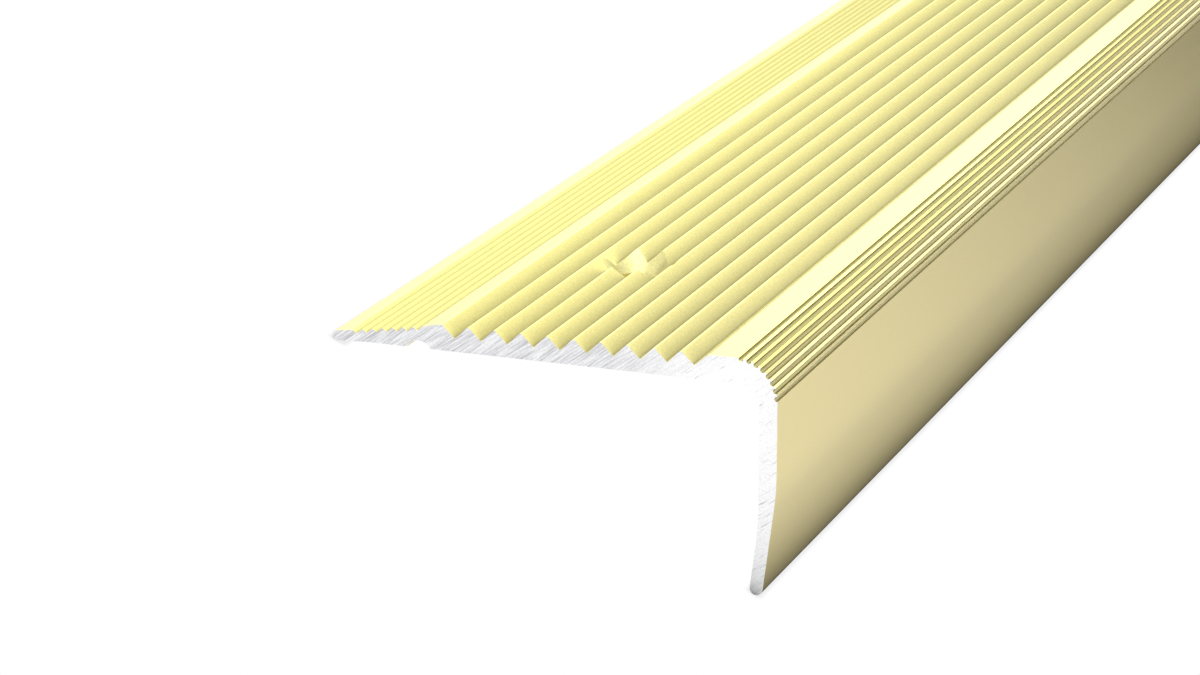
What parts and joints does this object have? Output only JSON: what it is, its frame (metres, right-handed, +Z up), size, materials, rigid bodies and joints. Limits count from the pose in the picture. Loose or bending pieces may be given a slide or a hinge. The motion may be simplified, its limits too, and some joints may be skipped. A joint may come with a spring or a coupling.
{
  "type": "stair nosing",
  "caption": "Extruded stair nosing strip with a ribbed tread flange, a grooved round nose, a short riser leg and a row of countersunk screw holes; caps a stair's front edge.",
  "frame": {"origin": "middle of the strip's box, on the floor that it rests on", "axes": "+Y along the strip, +Z up; the nose is towards +X and the rear lip towards -X. The strip rests on its rear lip and on the tip of its leg, so the flange is tilted by 25.6 degrees, nose up."},
  "size_m": [0.0484, 1, 0.0204],
  "materials": {
    "anodised_aluminium": "satin gold anodised, with bare saw-cut ends"
  },
  "bodies": {
    "root": {"nosing_profile": "anodised_aluminium"}
  },
  "joints": []
}
